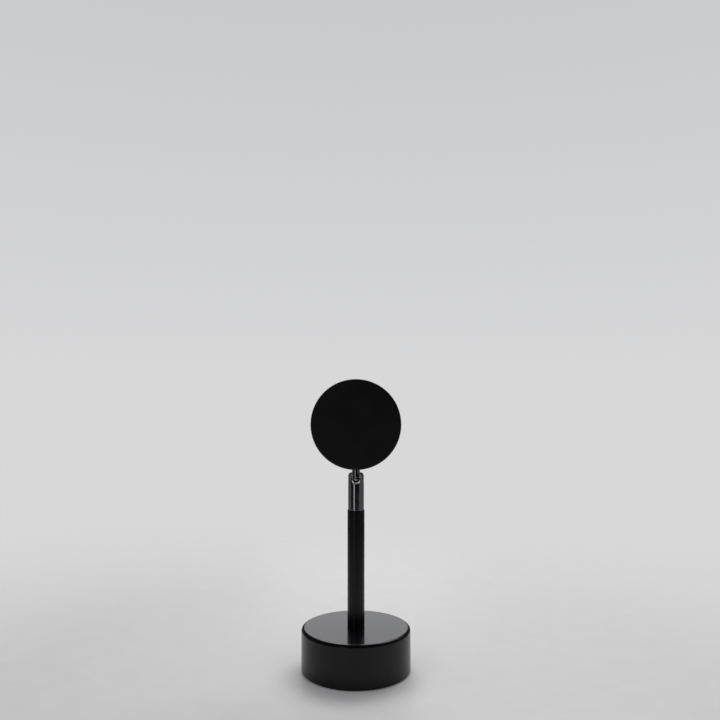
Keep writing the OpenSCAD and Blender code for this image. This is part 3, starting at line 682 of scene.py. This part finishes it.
# Tongue ----------------------------------------------------------------------------------
# Turned from one steel bar: a round end with two flats that swings in the fork's slot, the neck,
# and a stud that the head is bolted to. It is polished and plated as the fork is.

tongue_low, tongue_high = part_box("tongue")
end_out = pivot.z - tongue_low.z - slot_r
flat_x = 3.25 * mm
neck_r = tongue_high.x
neck_start = 1.9 * mm                   # above the pivot
stud_r = 2.9 * mm
lead_way_r = 1.25 * mm
socket_r, socket_x = 1.15 * mm, 1.7 * mm
fillet = 0.5 * mm
head_low, head_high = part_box("head_shell")
axis_z = (head_low.z + head_high.z) / 2
head_r = head_high.x


def tongue_surface(p):
    """How far points are outside the tongue."""
    x, y, z = p.T
    r = np.hypot(x, y)
    up = z - pivot.z
    swing = np.hypot(y, up)
    end = cut(np.hypot(swing - end_out, x) - slot_r, flat_x - np.abs(x))
    neck = np.maximum(np.maximum(r - neck_r, neck_start - up), head_r - np.hypot(x, z - axis_z))
    share = np.clip(0.5 + 0.5 * (neck - end) / fillet, 0, 1)
    body = neck * (1 - share) + end * share - fillet * share * (1 - share)
    stud = np.maximum(np.maximum(r - stud_r, z - tongue_high.z), neck_start - up)
    body = np.minimum(body, stud)
    body = np.maximum(body, lead_way_r - r)
    return np.maximum(body, -np.maximum(swing - socket_r, socket_x - np.abs(x)))


tongue = polished("tilt_tongue", "tongue", tongue_surface)
tongue.data.materials.append(chrome)
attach(tongue, "head")
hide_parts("tongue")

# Friction washers ------------------------------------------------------------------------
# Two thin nylon washers between the tongue and the fork that make the tilt stiff enough to
# stay where it is put. Nylon is milky and slightly waxy.

cloud_width = 1.2 * mm
nylon, tree, shader, at = start("stamped_nylon")
cloud = add(tree, "ShaderNodeTexNoise", {"Vector": at, "Scale": 1 / cloud_width, "Detail": 2})
tone = add(tree, "ShaderNodeValToRGB", {"Fac": cloud.outputs["Fac"]},
           stops=((0.3, "#d9d5c8"), (0.7, "#e3dfd3")))
feed(shader, {"Base Color": tone.outputs["Color"], "Roughness": 0.42, "IOR": 1.53,
              "Subsurface Weight": 0.15, "Subsurface Scale": 0.5 * mm})
give(nylon, "friction_washers")

# Leads -----------------------------------------------------------------------------------
# Two fine stranded wires in coloured PVC, which run from the driver board up the pole and
# through the tongue to the light source. Extruded PVC is smooth and a little glossy.

line_width, line_length = 0.3 * mm, 8 * mm
insulation = {
    "red": ("#8e1414", "#a51a1a"),
    "black": ("#121213", "#1a1a1c"),
}
for colour, (dark, bright) in insulation.items():
    pvc, tree, shader, at = start(f"extruded_{colour}_pvc")
    drawn = add(tree, "ShaderNodeMapping", {"Vector": at,
                                            "Scale": (1 / line_width, 1 / line_width, 1 / line_length)})
    streak = add(tree, "ShaderNodeTexNoise", {"Vector": drawn.outputs["Vector"], "Scale": 1,
                                              "Detail": 2})
    tone = add(tree, "ShaderNodeValToRGB", {"Fac": streak.outputs["Fac"]},
           stops=((0.3, dark), (0.7, bright)))
    feed(shader, {"Base Color": tone.outputs["Color"], "Roughness": 0.34, "IOR": 1.53})
    give(pvc, f"lower_lead_{colour}", f"upper_lead_{colour}")

# Head casing and lens ring ---------------------------------------------------------------
# A drum of die-cast aluminium, faced on a lathe, bead blasted and anodised black, with a
# threaded ring of the same at the front. Blasting leaves an even, dull black.

bead, bead_depth = 0.28 * mm, 0.012 * mm      # drawn coarser than they are, to show close up
touched = 18 * mm
anodised, tree, shader, at = start("bead_blasted_black_anodising")
dimples = add(tree, "ShaderNodeTexNoise", {"Vector": at, "Scale": 1 / bead, "Detail": 2})
handled = add(tree, "ShaderNodeTexNoise", {"Vector": at, "Scale": 1 / touched, "Detail": 3})
dull = add(tree, "ShaderNodeMapRange", {"Value": handled.outputs["Fac"], "From Min": 0.3,
                                        "From Max": 0.7, "To Min": 0.44, "To Max": 0.5})
tone = add(tree, "ShaderNodeValToRGB", {"Fac": handled.outputs["Fac"]},
           stops=((0.3, "#09080b"), (0.7, "#0c0b0f")))
blasted = add(tree, "ShaderNodeBump", {"Height": dimples.outputs["Fac"], "Distance": bead_depth})
feed(shader, {"Base Color": tone.outputs["Color"], "Roughness": dull.outputs["Result"], "IOR": 1.5,
              "Specular IOR Level": 0.3, "Normal": blasted.outputs["Normal"]})
give(anodised, "head_shell", "lens_ring")

# Heat sink -------------------------------------------------------------------------------
# A round plate with straight fins, sawn from extruded aluminium and faced where the light
# source sits. It is left plain, with the lines of the extrusion along its fins.

line_width, line_length, line_depth = 0.2 * mm, 12 * mm, 0.008 * mm
extruded, tree, shader, at = start("extruded_aluminium")
along = add(tree, "ShaderNodeMapping", {"Vector": at,
                                        "Scale": (1 / line_width, 1 / line_width, 1 / line_length)})
lines = add(tree, "ShaderNodeTexNoise", {"Vector": along.outputs["Vector"], "Scale": 1, "Detail": 3})
dull = add(tree, "ShaderNodeMapRange", {"Value": lines.outputs["Fac"], "To Min": 0.3, "To Max": 0.48})
tone = add(tree, "ShaderNodeValToRGB", {"Fac": lines.outputs["Fac"]},
           stops=((0.3, "#c3c5c7"), (0.7, "#d6d7d8")))
grooves = add(tree, "ShaderNodeBump", {"Height": lines.outputs["Fac"], "Distance": line_depth})
feed(shader, {"Base Color": tone.outputs["Color"], "Metallic": 1, "Roughness": dull.outputs["Result"],
              "Normal": grooves.outputs["Normal"]})
give(extruded, "heat_sink")

# Light source ----------------------------------------------------------------------------
# A round aluminium-core board in white solder mask on a grey silicone pad, with one square
# light-emitting package under a clear dome, yellow with phosphor.

filler_width = 0.3 * mm                 # drawn coarser than it is, to show close up
silicone, tree, shader, at = start("filled_silicone_pad")
filler = add(tree, "ShaderNodeTexVoronoi", {"Vector": at, "Scale": 1 / filler_width})
tone = add(tree, "ShaderNodeValToRGB", {"Fac": filler.outputs["Distance"]},
           stops=((0, "#9699a2"), (0.8, "#7d8089")))
feed(shader, {"Base Color": tone.outputs["Color"], "Roughness": 0.7, "IOR": 1.42})
give(silicone, "thermal_pad")

print_width = 0.4 * mm
white_mask, tree, shader, at = start("white_solder_mask")
print_grain = add(tree, "ShaderNodeTexNoise", {"Vector": at, "Scale": 1 / print_width, "Detail": 2})
tone = add(tree, "ShaderNodeValToRGB", {"Fac": print_grain.outputs["Fac"]},
           stops=((0.3, "#e1e1dc"), (0.7, "#ebebe7")))
feed(shader, {"Base Color": tone.outputs["Color"], "Roughness": 0.38, "IOR": 1.55})
give(white_mask, "led_board")


def off_axis(tree, at):
    """How far a point is from the head's axis."""
    middle = add(tree, "ShaderNodeVectorMath", {0: at, 1: (0, 0, axis_z)}, operation="SUBTRACT")
    across = add(tree, "ShaderNodeVectorMath", {0: middle.outputs[0], 1: (1, 0, 1)},
                 operation="MULTIPLY")
    return add(tree, "ShaderNodeVectorMath", {0: across.outputs[0]}, operation="LENGTH").outputs["Value"]


corner_r = 5 * mm                       # from the head's axis out to the package's corners
phosphor, tree, shader, at = start("phosphor_in_silicone")
share = add(tree, "ShaderNodeMapRange", {"Value": off_axis(tree, at), "From Max": corner_r})
tone = add(tree, "ShaderNodeValToRGB", {"Fac": share.outputs["Result"]},
           stops=((0.4, "#f4e08a"), (0.7, "#e8e4d4")))
feed(shader, {"Base Color": tone.outputs["Color"], "Roughness": 0.2, "IOR": 1.41,
              "Emission Color": tone.outputs["Color"], "Emission Strength": 1})
give(phosphor, "led_emitter")

# Light cup -------------------------------------------------------------------------------
# An injection-moulded cone of black polycarbonate round the light source, screwed to the heat
# sink. Its mouth carries the colour filter. The mould was polished, with faint flow lines.

flow_width, flow_depth = 6 * mm, 0.01 * mm
moulded, tree, shader, at = start("moulded_black_polycarbonate")
flow = add(tree, "ShaderNodeTexNoise", {"Vector": at, "Scale": 1 / flow_width, "Detail": 3})
tone = add(tree, "ShaderNodeValToRGB", {"Fac": flow.outputs["Fac"]},
           stops=((0.3, "#121214"), (0.7, "#19191b")))
dull = add(tree, "ShaderNodeMapRange", {"Value": flow.outputs["Fac"], "To Min": 0.25, "To Max": 0.4})
skin = add(tree, "ShaderNodeBump", {"Height": flow.outputs["Fac"], "Distance": flow_depth})
feed(shader, {"Base Color": tone.outputs["Color"], "Roughness": dull.outputs["Result"], "IOR": 1.58,
              "Normal": skin.outputs["Normal"]})
give(moulded, "light_cup")

# Colour filter and its ring --------------------------------------------------------------
# A glass disc whose coat lets blue-green through in the middle, then violet and magenta, and orange at the
# rim.
# It is drawn glowing in these colours: painted light, standing in for the light source shining through it.
# A ring of spring steel holds it in the mouth of the cup.

filter_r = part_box("colour_filter")[1].x
filter_coat_and_painted_glow, tree, shader, at = start("coated_filter_glass_with_painted_glow")
share = add(tree, "ShaderNodeMapRange", {"Value": off_axis(tree, at), "From Max": filter_r})
tone = add(tree, "ShaderNodeValToRGB", {"Fac": share.outputs["Result"]},
           stops=((0.0, "#7df1ee"), (0.3, "#3ccfe9"), (0.48, "#5b9df0"), (0.6, "#b36bea"),
                  (0.76, "#f04fd8"), (0.86, "#f5589a"), (0.93, "#ff8a1c"), (1.0, "#d2560a")))
# The emission is a painted glow, as if the light source lit the filter from behind.
feed(shader, {"Base Color": tone.outputs["Color"], "Roughness": 0.08, "IOR": 1.52,
              "Emission Color": tone.outputs["Color"], "Emission Strength": 0.85})
give(filter_coat_and_painted_glow, "colour_filter")

temper_width = 3 * mm
spring, tree, shader, at = start("tempered_spring_steel")
temper = add(tree, "ShaderNodeTexNoise", {"Vector": at, "Scale": 1 / temper_width, "Detail": 3})
tone = add(tree, "ShaderNodeValToRGB", {"Fac": temper.outputs["Fac"]},
           stops=((0.3, "#74757a"), (0.7, "#8c8c90")))
dull = add(tree, "ShaderNodeMapRange", {"Value": temper.outputs["Fac"], "To Min": 0.25, "To Max": 0.4})
feed(shader, {"Base Color": tone.outputs["Color"], "Metallic": 1, "Roughness": dull.outputs["Result"]})
give(spring, "filter_ring")

# Lens ------------------------------------------------------------------------------------
# A thick plano-convex lens pressed from clear glass and fire polished, with a flat flange that
# the ring clamps on the gasket. Wiping has left a faint film on it.

lens_low, lens_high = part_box("lens")
lens_r = lens_high.x
lens_flange_t, lens_flange_width = 3 * mm, 2.5 * mm
flange_y = lens_low.y + lens_flange_t
dome_r = lens_r - lens_flange_width
bulge = lens_high.y - flange_y
sphere_r = (dome_r ** 2 + bulge ** 2) / (2 * bulge)
dome_rings = 40
flange_edge = 0.3 * mm
edge_steps = 4
dome_foot = 0.2 * mm                    # the flat ring round the dome
lens_spokes = 160

# The radius and y of each ring, from the flat back round the flange to the top of the dome
outline = [(lens_r * 0.1, lens_low.y), (lens_r * 0.5, lens_low.y)]
for middle_y, turn in ((lens_low.y + flange_edge, -1), (flange_y - flange_edge, 1)):
    for i in range(edge_steps + 1):
        a = math.pi / 2 * (i / edge_steps if turn > 0 else 1 - i / edge_steps)
        outline.append((lens_r - flange_edge * (1 - math.cos(a)),
                        middle_y + turn * flange_edge * math.sin(a)))
outline.append((dome_r + dome_foot, flange_y))
half_angle = math.asin(dome_r / sphere_r)
for i in range(dome_rings):
    a = half_angle * (1 - i / dome_rings)
    outline.append((sphere_r * math.sin(a), lens_high.y - sphere_r * (1 - math.cos(a))))
clear_lens = skinned("clear_lens", [[(x, y, axis_z + z) for x, z in circle(r, lens_spokes)]
                                    for r, y in outline])
clear_lens.data.set_sharp_from_angle(angle=sharp_from)

wipe_width = 15 * mm
glass, tree, shader, at = start("fire_polished_glass")
wiped = add(tree, "ShaderNodeTexNoise", {"Vector": at, "Scale": 1 / wipe_width, "Detail": 4})
film = add(tree, "ShaderNodeMapRange", {"Value": wiped.outputs["Fac"], "From Min": 0.4,
                                        "From Max": 0.8, "To Min": 0.0, "To Max": 0.03})
feed(shader, {"Base Color": linear("#f6fbfb"), "Transmission Weight": 1, "IOR": 1.52,
              "Roughness": film.outputs["Result"]})
clear_lens.data.materials.append(glass)
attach(clear_lens, "head")
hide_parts("lens")
